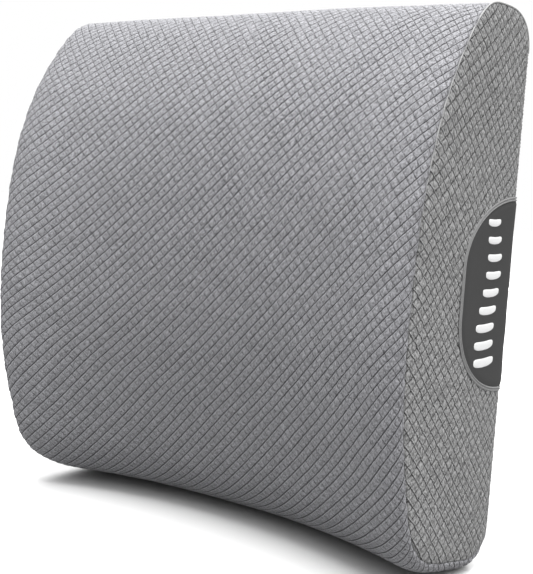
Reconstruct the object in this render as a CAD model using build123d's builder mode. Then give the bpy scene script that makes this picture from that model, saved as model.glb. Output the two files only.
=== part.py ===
from build123d import *
import os
from math import cos, radians, sin

# Lumbar support cushion: a foam block in a sewn cover, with a zip and a buckled strap on its back.
#
# Frame: millimetres, +Z up. X runs across the cushion's width, the flat back lies in the plane Y = 0
# and faces +Y, and the front faces -Y. Z = 0 is the surface that the cushion stands on.

# ---- driving dimensions ----
WIDTH = 320.0
HEIGHT = 336.0
COVER = 2.5  # laminated cover fabric
LINER = 1.0  # stretch liner round the foam
HOLLOW = 22.0  # depth of the front's hollow from side to side
BACK_RADIUS = 14.0  # upper and lower edges of the back
SIDE_RADIUS = 10.0  # the front panel rounds over to its side seams
HALF = WIDTH / 2
BODY_END = HALF - COVER  # where the front panel meets the side gussets

# The section's outline near the cushion's ends: corners as (depth, height), each rounded by a radius.
# It starts and ends behind the back plane, which cuts it off.
BEHIND = -30.0
OUTLINE = [(BEHIND, 0), (66, 0), (120, 21), (137, 150), (110, 290), (86, HEIGHT), (BEHIND, HEIGHT)]
OUTLINE_RADII = [30, 36, 400, 130, 50]

# The front is hollow from side to side because the outline turns about a far upright axis.
FRONT_DEPTH = 128.0
TURN_RADIUS = (HALF**2 + HOLLOW**2) / (2 * HOLLOW)
TURN_Y = -(FRONT_DEPTH - HOLLOW) - TURN_RADIUS
TURN_ARC = 34.0

# Zip, low on the back
ZIP_Z = 62.0
ZIP_GAP = 14.0  # opening between the two back panels
TAPE = 0.8
TAPE_TOP_Y = -0.4
COIL_WIDTH = 2.3
COIL_HEIGHT = 1.8
COIL_SPLIT = 1.4  # space between the two halves, where the slider's post runs
COIL_END = 146.0
STOP_HEIGHT = 1.9
SLIDER_X = 138.0
SLIDER_LENGTH = 12.0
SLIDER_WIDTH = 9.0
SLIDER_PLATE = 1.0
SLIDER_GAP = 0.3  # between the slider and what it runs on
PULL_PIVOT_Y = 4.4
PULL_LENGTH = 26.0
PULL_THICKNESS = 1.4

# Strap and buckle, across the middle of the back
STRAP_Z = 170.0
STRAP_WIDTH = 38.0
STRAP = 1.5
STRAP_Y = 1.0  # middle of the strap's thickness where it lies on the back
SECOND_STRAP_Y = 2.6  # the same for a layer on top of it
SLOT_WIDTH = 39.6
BEND = 2.0
TAIL_END_X = -56.0
BUCKLE_WIDTH = 49.0
MOUTH_X = 50.0  # where the two halves of the buckle meet
FEMALE_END_X = 88.0
MALE_END_X = 21.0
BUCKLE_LOW_Y = 0.3
BUCKLE_TOP_Y = 12.9
WALL = 2.2

# Label sewn on the right gusset, its straight side against the back edge
LABEL_DEPTH = 65.5
LABEL_UPPER_Z = 187.5  # centres of its two quarter ellipses
LABEL_LOWER_Z = 159.0
LABEL_UPPER_RISE = 39.0
LABEL_LOWER_DROP = 46.0
LABEL = 0.8
BORDER = 2.5
BORDER_HEIGHT = 1.2

# Care label, sewn into the left seam of the back
CARE_SIZE = (30.0, 0.4, 38.0)
CARE_Z = 86.0

os.makedirs("parts", exist_ok=True)


def save(piece, name):
    piece.part.label = name
    export_step(piece.part, f"parts/{name}.step")
    print(f"{name:18s} {piece.part.volume / 1000:9.2f} cm3")


def block(x_range, y_range, z_range):
    """A plain block between two opposite corners, added to the part that is open."""
    size = [high - low for low, high in (x_range, y_range, z_range)]
    with Locations((x_range[0], y_range[0], z_range[0])):
        return Box(*size, align=(Align.MIN, Align.MIN, Align.MIN))


def across(middle, half_width):
    """The range that reaches half_width to each side of middle."""
    return (middle - half_width, middle + half_width)


# ---- the cushion's body ----
def body(inset, end):
    """The solid inside the cover's outer surface, inset from it and cut off at x = +-end."""
    outward = Vector(sin(radians(TURN_ARC / 2)), cos(radians(TURN_ARC / 2)), 0)
    section = Plane(origin=(0, TURN_Y, 0), x_dir=outward, z_dir=outward.cross(Vector(0, 0, 1)))
    radius_at_back = HOLLOW - TURN_Y
    with BuildPart() as piece:
        with BuildSketch(section):
            with BuildLine():
                corners = [(radius_at_back - depth, height) for depth, height in OUTLINE]
                edge = FilletPolyline(*corners, radius=OUTLINE_RADII)
                Line(edge @ 1, edge @ 0)
            make_face()
            if inset:
                offset(amount=-inset, kind=Kind.INTERSECTION)
        revolve(axis=Axis((0, TURN_Y, 0), (0, 0, 1)), revolution_arc=TURN_ARC)
        split(bisect_by=Plane.YZ.offset(end), keep=Keep.BOTTOM)
        split(bisect_by=Plane.YZ.offset(-end), keep=Keep.TOP)
        for side in (0, -1):
            end_face = piece.faces().sort_by(Axis.X)[side]
            fillet([e for e in end_face.edges() if (e @ 0.5).Y < 0], SIDE_RADIUS)
        split(bisect_by=Plane.XZ.offset(inset), keep=Keep.TOP)
        # round the back's lower and upper edges
        radius = BACK_RADIUS - inset
        for z, up in ((inset, 1), (HEIGHT - inset, -1)):
            with BuildSketch(Plane.YZ.offset(-end)):
                corner = (-inset, z)
                with BuildLine():
                    Polyline((-inset - radius, z), corner, (-inset, z + up * radius))
                    middle = (-inset - radius * (1 - cos(radians(45))), z + up * radius * (1 - sin(radians(45))))
                    ThreePointArc((-inset, z + up * radius), middle, (-inset - radius, z))
                make_face()
            extrude(amount=2 * end, mode=Mode.SUBTRACT)
    return piece


outer = body(0, BODY_END)
inner = body(COVER, BODY_END)

foam_core = body(COVER + LINER, BODY_END - LINER)
save(foam_core, "foam_core")

with BuildPart() as inner_liner:
    add(inner.part)
    add(foam_core.part, mode=Mode.SUBTRACT)
save(inner_liner, "inner_liner")

with BuildPart() as cover_shell:
    add(outer.part)
    add(inner.part, mode=Mode.SUBTRACT)

# The front panel is one piece of cloth that wraps the bottom, the front and the top.
with BuildPart() as front_panel:
    add(cover_shell.part)
    split(bisect_by=Plane.XZ.offset(COVER), keep=Keep.TOP)
save(front_panel, "front_panel")

for side, name in ((0, "left"), (-1, "right")):
    with BuildPart() as gusset:
        extrude(outer.faces().sort_by(Axis.X)[side], amount=COVER)
    save(gusset, f"side_gusset_{name}")

# The back is two panels, above and below the zip.
with BuildPart() as back_panel_upper:
    add(cover_shell.part)
    split(bisect_by=Plane.XZ.offset(COVER), keep=Keep.BOTTOM)
    split(bisect_by=Plane.XY.offset(ZIP_Z + ZIP_GAP / 2), keep=Keep.TOP)
save(back_panel_upper, "back_panel_upper")

with BuildPart() as back_panel_lower:
    add(cover_shell.part)
    split(bisect_by=Plane.XZ.offset(COVER), keep=Keep.BOTTOM)
    split(bisect_by=Plane.XY.offset(ZIP_Z - ZIP_GAP / 2), keep=Keep.BOTTOM)
save(back_panel_lower, "back_panel_lower")


# ---- the zip ----
COIL_TOP_Y = TAPE_TOP_Y + COIL_HEIGHT
COIL_OUT = COIL_SPLIT / 2 + COIL_WIDTH  # outer edge of each coil, from the zip's middle line

for side, name in ((1, "upper"), (-1, "lower")):
    with BuildPart() as zip_tape:
        z_range = sorted((ZIP_Z + side * COIL_SPLIT / 2, ZIP_Z + side * ZIP_GAP / 2))
        block((-BODY_END, BODY_END), (TAPE_TOP_Y - TAPE, TAPE_TOP_Y), z_range)
    save(zip_tape, f"zip_tape_{name}")

    with BuildPart() as zip_coil:
        z_range = sorted((ZIP_Z + side * COIL_SPLIT / 2, ZIP_Z + side * COIL_OUT))
        block((-COIL_END, COIL_END), (TAPE_TOP_Y, COIL_TOP_Y), z_range)
        crown = zip_coil.faces().sort_by(Axis.Y)[-1].edges().filter_by(Axis.X)
        fillet(crown, 0.9)
    save(zip_coil, f"zip_coil_{name}")

# Stops: two crimps at the closed end, and one clamp over both halves at the other.
with BuildPart() as zip_stops:
    y_range = (TAPE_TOP_Y, TAPE_TOP_Y + STOP_HEIGHT)
    for side in (1, -1):
        z_range = sorted((ZIP_Z + side * COIL_SPLIT / 2, ZIP_Z + side * COIL_OUT))
        block((COIL_END, COIL_END + 3.5), y_range, z_range)
    block((-COIL_END - 4, -COIL_END), y_range, across(ZIP_Z, COIL_OUT + 0.6))
save(zip_stops, "zip_stops")

with BuildPart() as zip_slider:
    x_range = across(SLIDER_X, SLIDER_LENGTH / 2)
    top_low_y = COIL_TOP_Y + SLIDER_GAP
    top_y = top_low_y + SLIDER_PLATE
    low_top_y = TAPE_TOP_Y - TAPE - SLIDER_GAP
    block(x_range, (top_low_y, top_y), across(ZIP_Z, SLIDER_WIDTH / 2))
    block(x_range, (low_top_y - 0.8, low_top_y), across(ZIP_Z, SLIDER_WIDTH / 2))
    fillet(zip_slider.edges().filter_by(Axis.Y), 2.0)
    for side in (1, -1):
        z_range = sorted((ZIP_Z + side * (COIL_OUT + SLIDER_GAP), ZIP_Z + side * SLIDER_WIDTH / 2))
        block(across(SLIDER_X, 3.9), (TAPE_TOP_Y + 0.4, top_low_y), z_range)
    block(across(SLIDER_X + 4, 1.5), (low_top_y, top_low_y), across(ZIP_Z, 0.4))
    # the bridge that holds the pull
    for side in (1, -1):
        block(across(SLIDER_X + side * 3.2, 0.6), (top_y, PULL_PIVOT_Y + 1.0), across(ZIP_Z, 1.1))
    block(across(SLIDER_X, 3.8), (PULL_PIVOT_Y + 1.0, PULL_PIVOT_Y + 2.0), across(ZIP_Z, 1.1))
save(zip_slider, "zip_slider")

# The pull's eye reaches round the bridge, and its crossbar turns under it.
with BuildPart() as zip_pull:
    eye_end_x = SLIDER_X - 6.5
    with BuildSketch(Plane.XZ.offset(-PULL_PIVOT_Y - PULL_THICKNESS / 2)):
        with Locations((SLIDER_X - PULL_LENGTH / 2, ZIP_Z)):
            Rectangle(PULL_LENGTH, 7.0)
        fillet(vertices(), 2.5)
        with Locations(((SLIDER_X + eye_end_x) / 2, ZIP_Z)):
            Rectangle(SLIDER_X - eye_end_x + 0.01, 3.2, mode=Mode.SUBTRACT)
    extrude(amount=PULL_THICKNESS)
    crossbar_plane = Plane.XY.offset(ZIP_Z - 2.6)
    with BuildSketch(crossbar_plane):
        with Locations((SLIDER_X, PULL_PIVOT_Y)):
            Circle(PULL_THICKNESS / 2)
    extrude(amount=5.2)
save(zip_pull, "zip_pull")


# ---- the strap and its buckle ----
def band(points):
    """Webbing of the strap's section along a path of (x, y) points with rounded bends."""
    with BuildPart() as piece:
        with BuildLine(Plane.XY.offset(STRAP_Z)) as path:
            FilletPolyline(*points, radius=BEND)
        with BuildSketch(Plane(origin=path.line @ 0, z_dir=path.line % 0, x_dir=(0, 0, 1))):
            Rectangle(STRAP_WIDTH, STRAP)
        sweep(path=path.line)
    return piece


FRAME_LOW_Y = 3.7  # the male half's ladder frame, above two layers of webbing
FRAME_TOP_Y = 7.7
OVER_BAR_Y = FRAME_TOP_Y + 0.9
BAR_X = 34.0  # middle of the bar that the webbing turns round
FIRST_SLOT_X = 28.7
SECOND_SLOT_X = 39.2

# The elastic strap comes from the left seam, passes under the frame and rises over its inner bar.
strap_long = band([
    (-BODY_END, STRAP_Y), (SECOND_SLOT_X, STRAP_Y), (SECOND_SLOT_X, OVER_BAR_Y), (BAR_X, OVER_BAR_Y),
])
save(strap_long, "strap_long")

# Its free tail comes down through the first slot and lies on the strap.
strap_tail = band([
    (BAR_X, OVER_BAR_Y), (FIRST_SLOT_X, OVER_BAR_Y), (FIRST_SLOT_X, SECOND_STRAP_Y),
    (TAIL_END_X, SECOND_STRAP_Y),
])
save(strap_tail, "strap_tail")

# The short strap from the right seam is looped round the female half's bar and sewn to itself.
strap_short = band([
    (BODY_END, STRAP_Y), (81.5, STRAP_Y), (81.5, 9.9), (90.0, 9.9), (97.0, SECOND_STRAP_Y),
    (118.0, SECOND_STRAP_Y),
])
save(strap_short, "strap_short")

with BuildPart() as buckle_female:
    half = BUCKLE_WIDTH / 2
    block((MOUTH_X, FEMALE_END_X), (BUCKLE_LOW_Y, BUCKLE_TOP_Y), across(STRAP_Z, half))
    fillet(buckle_female.edges().filter_by(Axis.Y).group_by(Axis.X)[-1], 5.0)
    fillet(buckle_female.faces().sort_by(Axis.Y)[-1].edges(), 1.6)
    cavity_y = (BUCKLE_LOW_Y + WALL, BUCKLE_TOP_Y - WALL)
    with Locations((MOUTH_X, sum(cavity_y) / 2, STRAP_Z)):
        Box(
            26, cavity_y[1] - cavity_y[0], BUCKLE_WIDTH - 2 * WALL,
            align=(Align.MIN, Align.CENTER, Align.CENTER), mode=Mode.SUBTRACT,
        )
    # side windows, where the prongs' heads show
    with Locations((MOUTH_X + 6, sum(cavity_y) / 2, STRAP_Z)):
        Box(
            14, cavity_y[1] - cavity_y[0], BUCKLE_WIDTH + 2,
            align=(Align.MIN, Align.CENTER, Align.CENTER), mode=Mode.SUBTRACT,
        )
    # slot and bar for the short strap, with room for the strap under and over the bar
    with Locations((79, BUCKLE_LOW_Y - 1, STRAP_Z)):
        Box(5, 20, SLOT_WIDTH, align=(Align.MIN, Align.MIN, Align.CENTER), mode=Mode.SUBTRACT)
    with Locations((79, BUCKLE_LOW_Y - 1, STRAP_Z)):
        Box(12, 3, SLOT_WIDTH, align=(Align.MIN, Align.MIN, Align.CENTER), mode=Mode.SUBTRACT)
    with Locations((79, 9.0, STRAP_Z)):
        Box(12, 8, SLOT_WIDTH, align=(Align.MIN, Align.MIN, Align.CENTER), mode=Mode.SUBTRACT)
save(buckle_female, "buckle_female")

with BuildPart() as buckle_male:
    frame_y = (FRAME_LOW_Y, FRAME_TOP_Y)
    block((MALE_END_X, 43), frame_y, across(STRAP_Z, half - 0.5))
    fillet(buckle_male.edges().filter_by(Axis.Y).group_by(Axis.X)[0], 4.0)
    for slot_x in (26.0, 36.5):
        with Locations((slot_x, FRAME_LOW_Y - 1, STRAP_Z)):
            Box(5.5, 8, SLOT_WIDTH, align=(Align.MIN, Align.MIN, Align.CENTER), mode=Mode.SUBTRACT)
    block((42.2, MOUTH_X - 0.5), (1.5, 11.5), across(STRAP_Z, half - 0.5))
    # the middle tongue that guides the halves together
    block((MOUTH_X - 0.5, MOUTH_X + 22), (4.8, 8.4), across(STRAP_Z, 4.0))
save(buckle_male, "buckle_male")

# The two prongs spring inwards when they are pinched. They are part of the male half's moulding.
PRONG = [
    (49.5, 11.5), (49.5, 16.0), (56.4, 18.2), (56.4, 23.9), (64.5, 23.9), (73.5, 16.5), (73.5, 13.5),
    (66.0, 17.0), (58.0, 15.2),
]
PRONG_TOP = 9.6  # the prongs' upper face, above the back
PRONG_THICK = 6.0
with BuildPart() as buckle_prongs:
    for side in (1, -1):
        with BuildSketch(Plane.XZ.offset(-PRONG_TOP)):
            with BuildLine():
                Polyline(*[(x, STRAP_Z + side * out) for x, out in PRONG], close=True)
            make_face()
        extrude(amount=PRONG_THICK)
save(buckle_prongs, "buckle_prongs")


# ---- labels ----
def label_slab(grow, thickness):
    """A D shape on the right gusset, grown all round its curved side."""
    depth = LABEL_DEPTH + grow
    rise = LABEL_UPPER_RISE + grow
    drop = LABEL_LOWER_DROP + grow
    with BuildPart() as slab:
        with BuildSketch(Plane.YZ.offset(HALF)):
            with BuildLine():
                EllipticalCenterArc((0, LABEL_UPPER_Z), depth, rise, 90, arc_size=90)
                Line((-depth, LABEL_UPPER_Z), (-depth, LABEL_LOWER_Z))
                EllipticalCenterArc((0, LABEL_LOWER_Z), depth, drop, 180, arc_size=90)
                Line((0, LABEL_LOWER_Z - drop), (0, LABEL_UPPER_Z + rise))
            make_face()
        extrude(amount=thickness)
    return slab


save(label_slab(0, LABEL), "side_label")

with BuildPart() as label_border:
    add(label_slab(BORDER, BORDER_HEIGHT).part)
    add(label_slab(0, BORDER_HEIGHT).part, mode=Mode.SUBTRACT)
save(label_border, "label_border")

with BuildPart() as care_label:
    block((-BODY_END, -BODY_END + CARE_SIZE[0]), (0, CARE_SIZE[1]), (CARE_Z, CARE_Z + CARE_SIZE[2]))
save(care_label, "care_label")
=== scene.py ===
from math import cos, pi, radians, sin

import bpy
import numpy as np
from mathutils import Matrix, Vector


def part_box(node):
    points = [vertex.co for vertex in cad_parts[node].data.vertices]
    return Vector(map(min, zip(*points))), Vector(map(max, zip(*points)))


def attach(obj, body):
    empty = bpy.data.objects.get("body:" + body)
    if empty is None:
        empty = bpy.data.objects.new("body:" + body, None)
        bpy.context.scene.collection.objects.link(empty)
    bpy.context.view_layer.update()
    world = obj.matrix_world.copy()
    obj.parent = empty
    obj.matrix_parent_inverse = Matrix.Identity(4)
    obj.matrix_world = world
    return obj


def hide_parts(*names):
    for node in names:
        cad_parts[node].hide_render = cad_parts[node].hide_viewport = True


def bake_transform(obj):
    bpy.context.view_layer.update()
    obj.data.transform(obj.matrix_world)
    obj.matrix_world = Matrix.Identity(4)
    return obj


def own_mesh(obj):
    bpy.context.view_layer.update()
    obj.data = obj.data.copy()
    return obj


# Lumbar support cushion. The CAD frame gives the sizes, the bodies and the moving hardware. This script
# builds the sewn cover from one shape formula, in millimetres, and turns it into metres at the end.

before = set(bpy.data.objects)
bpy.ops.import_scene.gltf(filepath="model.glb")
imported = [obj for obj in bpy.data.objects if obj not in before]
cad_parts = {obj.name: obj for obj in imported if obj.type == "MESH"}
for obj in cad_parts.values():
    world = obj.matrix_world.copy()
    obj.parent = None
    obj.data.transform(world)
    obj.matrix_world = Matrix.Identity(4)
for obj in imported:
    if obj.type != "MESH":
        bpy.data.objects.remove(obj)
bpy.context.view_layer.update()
MM = 0.001

# ---- sizes, from the frame ----
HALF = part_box("side_gusset_right")[1][0] / MM  # half of the cushion's width
label_low, label_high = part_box("side_label")
tape_low, tape_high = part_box("zip_tape_upper")
lower_tape_low, lower_tape_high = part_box("zip_tape_lower")

# ---- the cushion's shape ----
# The side seam's outline as (depth, height) in mm, from the back's lower corner round the front to the
# back's upper corner.
SEAM = [
    (0, 26), (4, 16), (14.1, 10.1), (40, 12), (63.2, 16.6), (88.2, 26), (99.1, 36.7), (109, 60.2),
    (118.1, 95.1), (122.6, 135.6), (121.9, 175.7), (117.9, 215.7), (109.5, 253.4), (97.7, 283.3),
    (83.6, 306.4), (69.8, 323.5), (54.9, 333.9), (37, 336.2), (15.7, 334.2), (4, 326.5), (0, 314),
]
MID_HEIGHT = 173.2  # height of the cushion's middle
SWELL_FRONT = 10.9  # how far the front panel swells out beyond its side seams
SWELL_BOTTOM = 10.2  # the same for the bottom and the top
SWELL_TOP = 0.6
SWELL_RUN = 22.8  # width over which it swells
HOLLOW_MID = 19.5  # the front's hollow from side to side, at half height
HOLLOW_SLOPE = -0.144  # change of it with height
HOLLOW_BEND = 0.0000935  # and with the square of height
HOLLOW_POWER = 2.2  # its shape across: 2 is a parabola
SEAM_DIP = 1.3  # how far a seam draws the cloth in

# ---- the quilted knit ----
TILE = 7.25  # diagonal of a quilted tile on the front
SIDE_TILE = 8.4  # diagonal of the tiles on the gussets


def clamped_spline(points, ends, count):
    """count points of a cubic spline through points, with the end tangents given."""
    points = np.array(points, float)
    chords = np.hypot(*np.diff(points, axis=0).T)
    knots = np.concatenate([[0], np.cumsum(chords)])
    size = len(points)
    matrix = np.zeros((size, size))
    right = np.zeros((size, 2))
    matrix[0, 0] = matrix[-1, -1] = 1
    right[0], right[-1] = ends
    for i in range(1, size - 1):
        before, after = chords[i - 1], chords[i]
        matrix[i, i - 1:i + 2] = (after, 2 * (before + after), before)
        step_in = (points[i] - points[i - 1]) / before
        step_out = (points[i + 1] - points[i]) / after
        right[i] = 3 * (after * step_in + before * step_out)
    slopes = np.linalg.solve(matrix, right)
    at = np.linspace(0, knots[-1], count)
    i = np.clip(np.searchsorted(knots, at, side="right") - 1, 0, size - 2)
    width = chords[i][:, None]
    t = ((at - knots[i]) / chords[i])[:, None]
    return (
        (2 * t**3 - 3 * t**2 + 1) * points[i] + (t**3 - 2 * t**2 + t) * width * slopes[i]
        + (3 * t**2 - 2 * t**3) * points[i + 1] + (t**3 - t**2) * width * slopes[i + 1]
    )


def outward(curve):
    """Unit normals of a (depth, height) curve, away from the cushion."""
    along = np.gradient(curve, axis=0)
    along /= np.linalg.norm(along, axis=1)[:, None]
    return np.stack([along[:, 1], -along[:, 0]], 1)


def even(curve, count):
    """The same curve with its points at even distances."""
    run = np.concatenate([[0], np.cumsum(np.linalg.norm(np.diff(curve, axis=0), axis=1))])
    at = np.linspace(0, run[-1], count)
    return np.stack([np.interp(at, run, curve[:, k]) for k in range(curve.shape[1])], 1), run[-1]


def swell(normals, depth):
    """How far the cloth swells out beyond its seams, where it faces normals at a depth."""
    up = np.clip(normals[:, 1], 0, 1)
    down = np.clip(-normals[:, 1], 0, 1)
    amount = SWELL_FRONT + (SWELL_TOP - SWELL_FRONT) * up + (SWELL_BOTTOM - SWELL_FRONT) * down
    return amount * np.clip(depth / 15, 0, 1)


def hollow(x, depth, height):
    """How far the front is hollowed from side to side."""
    rise = height - MID_HEIGHT
    deep = HOLLOW_MID + HOLLOW_SLOPE * rise + HOLLOW_BEND * rise**2
    return deep * (1 - np.abs(x / HALF) ** HOLLOW_POWER) * np.clip(depth / 100, 0, 1.2)


fine_seam = clamped_spline(SEAM, ((0, -1), (0, -1)), 4000)
fine_normals = outward(fine_seam)
fine_belly = fine_seam + fine_normals * swell(fine_normals, fine_seam[:, 0])[:, None]
belly_run = np.concatenate([[0], np.cumsum(np.linalg.norm(np.diff(fine_belly, axis=0), axis=1))])


def section(rows):
    """Seam outline, normals and swell at rows even steps along the swollen front."""
    at = np.linspace(0, belly_run[-1], rows)
    pick = lambda values: np.stack([np.interp(at, belly_run, values[:, k]) for k in (0, 1)], 1)
    points = pick(fine_seam)
    normals = pick(fine_normals)
    return points, normals, swell(normals, points[:, 0])


def body_surface(x, lift, rows, inset=0.0):
    """Points (len(x), rows, 3) of the front, top and bottom. lift is the share of the swell at each x."""
    points, normals, amount = section(rows)
    out = amount[None, :] * lift[:, None] - inset
    depth = points[None, :, 0] + normals[None, :, 0] * out
    height = points[None, :, 1] + normals[None, :, 1] * out
    depth = depth - hollow(x[:, None], points[None, :, 0], points[None, :, 1])
    return np.stack([np.broadcast_to(x[:, None], depth.shape), -depth, height], -1)


def rounded_columns(count):
    """Even steps across the front, over its rounded ends: x, share of the swell, and the whole length."""
    turn = np.linspace(0, pi / 2, 400)
    edge_x = HALF - SWELL_RUN + SWELL_RUN * np.sin(turn)
    edge_lift = np.cos(turn)
    x = np.concatenate([-edge_x[::-1], edge_x])
    lift = np.concatenate([edge_lift[::-1], edge_lift])
    path = np.stack([x, lift * SWELL_FRONT, lift], 1)
    flat = np.linalg.norm(np.diff(path[:, :2], axis=0), axis=1)
    run = np.concatenate([[0], np.cumsum(flat)])
    at = np.linspace(0, run[-1], count)
    return np.interp(at, run, path[:, 0]), np.interp(at, run, path[:, 2]), run[-1]


def grid_normals(grid):
    """Unit normals at the points of a grid."""
    across = np.gradient(grid, axis=0)
    along = np.gradient(grid, axis=1)
    normal = np.cross(across, along)
    return normal / (np.linalg.norm(normal, axis=-1, keepdims=True) + 1e-12)


def soft_noise(grid, size, seed):
    """Smooth uneven noise, about -1 to 1, with bumps of about size mm: a sum of seeded waves."""
    rng = np.random.default_rng(seed)
    total = np.zeros(grid.shape[:-1])
    for _ in range(14):
        direction = rng.normal(size=3)
        direction *= 2 * pi / (size * (0.7 + 0.9 * rng.random()) * np.linalg.norm(direction))
        total += np.sin(grid @ direction + rng.random() * 2 * pi)
    return total / 5.0


# ---- mesh helpers ----
def mesh_object(name, points, faces, uv):
    """A mesh from points in mm. uv holds one pair for each point."""
    mesh = bpy.data.meshes.new(name)
    mesh.from_pydata((np.asarray(points) * MM).tolist(), [], faces)
    layer = mesh.uv_layers.new(name="UVMap")
    corners = np.empty(len(mesh.loops), dtype=np.int32)
    mesh.loops.foreach_get("vertex_index", corners)
    layer.data.foreach_set("uv", np.asarray(uv, np.float32)[corners].ravel())
    mesh.polygons.foreach_set("use_smooth", [True] * len(mesh.polygons))
    mesh.update()
    piece = bpy.data.objects.new(name, mesh)
    bpy.context.scene.collection.objects.link(piece)
    return piece


def grid_faces(columns, rows, flip=False, crease=None):
    """Two triangles for each cell. crease(i, j) is true where the edge runs along the falling diagonal."""
    i, j = np.meshgrid(np.arange(columns - 1), np.arange(rows - 1), indexing="ij")
    a = (i * rows + j).ravel()
    b = a + rows
    c = b + 1
    d = a + 1
    falling = np.zeros(len(a), bool) if crease is None else crease(i, j).ravel()
    first = np.where(falling[:, None], np.stack([a, b, d], 1), np.stack([a, b, c], 1))
    second = np.where(falling[:, None], np.stack([b, c, d], 1), np.stack([a, c, d], 1))
    faces = np.concatenate([first, second])
    return (faces[:, ::-1] if flip else faces).tolist()


def tube_faces(rings, sides, base=0):
    """Faces of a tube of closed rings, with a cap on both ends. base is its first point's number."""
    faces = []
    for a in range(rings - 1):
        for b in range(sides):
            here = base + a * sides
            c = (b + 1) % sides
            faces.append((here + b, here + c, here + sides + c, here + sides + b))
    last = base + (rings - 1) * sides
    faces.append(tuple(range(base, base + sides))[::-1])
    faces.append(tuple(range(last, last + sides)))
    return faces


def mound_faces(rings, sides, base=0):
    """Faces of a low mound: rings one inside the other, a lid on the last and nothing beneath."""
    *walls, _, lid = tube_faces(rings, sides, base)
    return [face[::-1] for face in (*walls, lid)]


def finish_piece(piece, body, slot, material, *nodes):
    """Material, body and replaced CAD nodes; slot is not used. A piece with body None is attached to no
    body.
    """
    piece.data.materials.append(material)
    if body:
        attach(piece, body)
    if nodes:
        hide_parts(*nodes)


# ---- materials ----
class Nodes:
    """Small helper that adds and links shader nodes in one material."""

    def __init__(self, name):
        self.material = bpy.data.materials.new(name)
        self.material.use_nodes = True
        self.tree = self.material.node_tree
        self.shader = self.tree.nodes["Principled BSDF"]

    def add(self, kind, **inputs):
        node = self.tree.nodes.new("ShaderNode" + kind)
        for key, value in inputs.items():
            self.put(node, key, value)
        return node

    def put(self, node, key, value):
        """Set or link an input, found by its name or, as in0 and in1, by its number."""
        numbered = key.startswith("in") and key[2:].isdigit()
        self.feed(node.inputs[int(key[2:])] if numbered else node.inputs[key], value)

    def feed(self, socket, value):
        if isinstance(value, bpy.types.NodeSocket):
            self.tree.links.new(value, socket)
        else:
            socket.default_value = value

    def math(self, operation, a, b=0.0):
        node = self.add("Math", in0=a, in1=b)
        node.operation = operation
        return node.outputs[0]

    def ramp(self, value, low, high, to_low=0.0, to_high=1.0):
        node = self.add("MapRange", Value=value)
        node.interpolation_type = "SMOOTHSTEP"
        for key, number in (("From Min", low), ("From Max", high), ("To Min", to_low), ("To Max", to_high)):
            self.put(node, key, number)
        return node.outputs[0]

    def mix(self, factor, a, b):
        node = self.tree.nodes.new("ShaderNodeMix")
        node.data_type = "RGBA"
        for number, value in ((0, factor), (6, a), (7, b)):
            self.feed(node.inputs[number], value)
        return node.outputs[2]

    def noise(self, vector, scale, detail=3.0, roughness=0.55):
        node = self.add("TexNoise", Vector=vector, Scale=scale, Detail=detail, Roughness=roughness)
        return node.outputs["Fac"]

    def stretched(self, vector, scale):
        return self.add("Mapping", Vector=vector, Scale=scale).outputs[0]

    def place(self):
        return self.add("TexCoord").outputs["Object"]

    def uv(self):
        return self.add("UVMap").outputs[0]

    def bump(self, height, distance, strength=1.0, normal=None):
        node = self.add("Bump", Height=height, Distance=distance, Strength=strength)
        if normal is not None:
            self.put(node, "Normal", normal)
        return node.outputs[0]

    def finish(self, colour, roughness, normal=None, sheen=0.0, specular=0.5):
        self.put(self.shader, "Base Color", colour)
        self.put(self.shader, "Roughness", roughness)
        if normal is not None:
            self.put(self.shader, "Normal", normal)
        self.shader.inputs["Sheen Weight"].default_value = sheen
        self.shader.inputs["Sheen Roughness"].default_value = 0.45
        self.shader.inputs["Specular IOR Level"].default_value = specular
        return self.material


def grey(value, cool=0.0):
    """A grey, with its blue a share cool stronger."""
    return (value, value, value * (1 + cool), 1)


def line_offset(n, position):
    """Signed distance from the nearest whole number: 0 on a groove, 0.5 in the middle of a tile."""
    shifted = n.math("ADD", position, 0.5)
    fraction = n.math("FRACT", shifted)
    return n.math("SUBTRACT", fraction, 0.5)


LIP_AND_HIGHLIGHT = 0.5  # strength of the raised edge on each tile and of the painted highlight along it
TILE_LINE = (0.012, 0.085, 1.0, 0.0)  # ramp from a groove's middle to its rim, in tiles


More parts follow.
